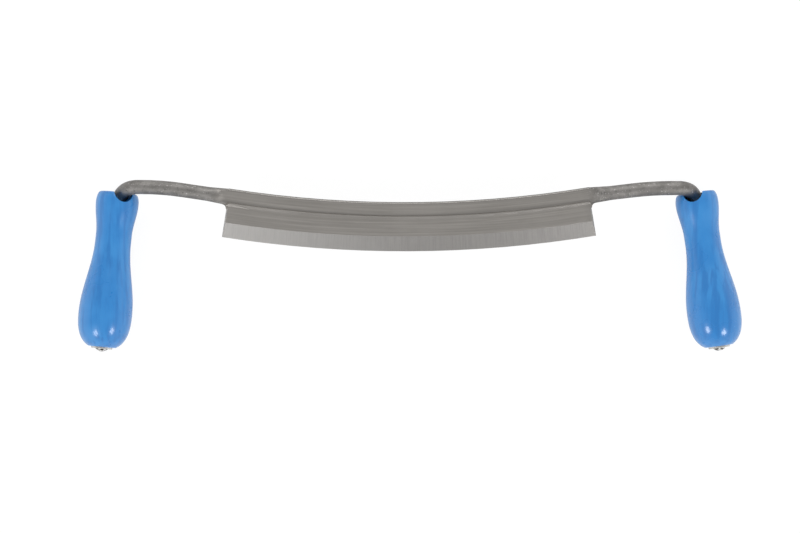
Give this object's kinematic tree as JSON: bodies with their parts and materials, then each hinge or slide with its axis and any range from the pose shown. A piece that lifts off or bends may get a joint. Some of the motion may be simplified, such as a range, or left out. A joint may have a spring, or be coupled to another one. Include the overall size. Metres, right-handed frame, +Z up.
{
  "type": "curved drawknife",
  "caption": "Forged drawknife: a bowed blade with a thick spine rib and a ground bevel, round cranked tangs, and turned handles painted blue, peened over washers.",
  "frame": {"origin": "centre of the outline seen from above, on the table that the handles lie on", "axes": "+X runs from the left handle to the right one along the cutting edge, -Y points along the handles towards the user, +Z is up, with the bevel on top"},
  "size_m": [0.4507, 0.1164, 0.0364],
  "materials": {
    "forged_steel": "forged steel with a lengthwise drawn grain, ground bright on the bevel",
    "blue_paint": "glossy blue enamel over turned hardwood",
    "washer_steel": "bright zinc-plated steel"
  },
  "bodies": {
    "root": {"blade": "forged_steel", "left_handle": "blue_paint", "right_handle": "blue_paint", "left_washer": "washer_steel", "right_washer": "washer_steel"}
  },
  "joints": []
}
